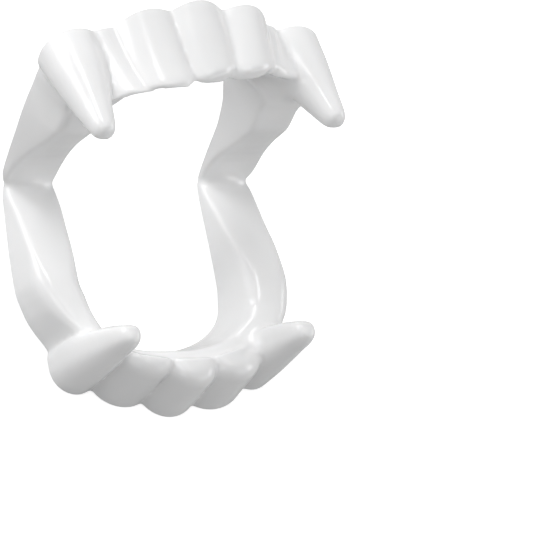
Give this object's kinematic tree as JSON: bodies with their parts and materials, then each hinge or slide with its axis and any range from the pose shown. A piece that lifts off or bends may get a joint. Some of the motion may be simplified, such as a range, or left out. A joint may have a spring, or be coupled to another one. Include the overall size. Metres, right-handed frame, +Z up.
{
  "type": "vampire fang denture",
  "caption": "Glossy white moulded vampire teeth for the mouth: an upper and a lower row with long fangs, hollow behind, joined at the cheeks by folding hinges.",
  "frame": {"origin": "under the middle of the whole piece, on the surface the lower gum rim rests on", "axes": "+Z up, the front teeth face -Y, X runs left to right along the fold line"},
  "size_m": [0.058, 0.0676, 0.0416],
  "materials": {
    "white_plastic": "glossy, as moulded"
  },
  "bodies": {
    "lower_row": {"lower_jaw": "white_plastic", "hinge_web_left": "white_plastic", "hinge_web_right": "white_plastic"},
    "upper_row": {"upper_jaw": "white_plastic"}
  },
  "joints": [
    {"name": "cheek_fold", "type": "hinge", "parent": "lower_row", "child": "upper_row", "pos_m": [0, 0.01217, 0.00055], "axis": [1, 0, 0], "range_deg": [-61, 50], "stiffness_Nm_per_rad": 0.05}
  ]
}
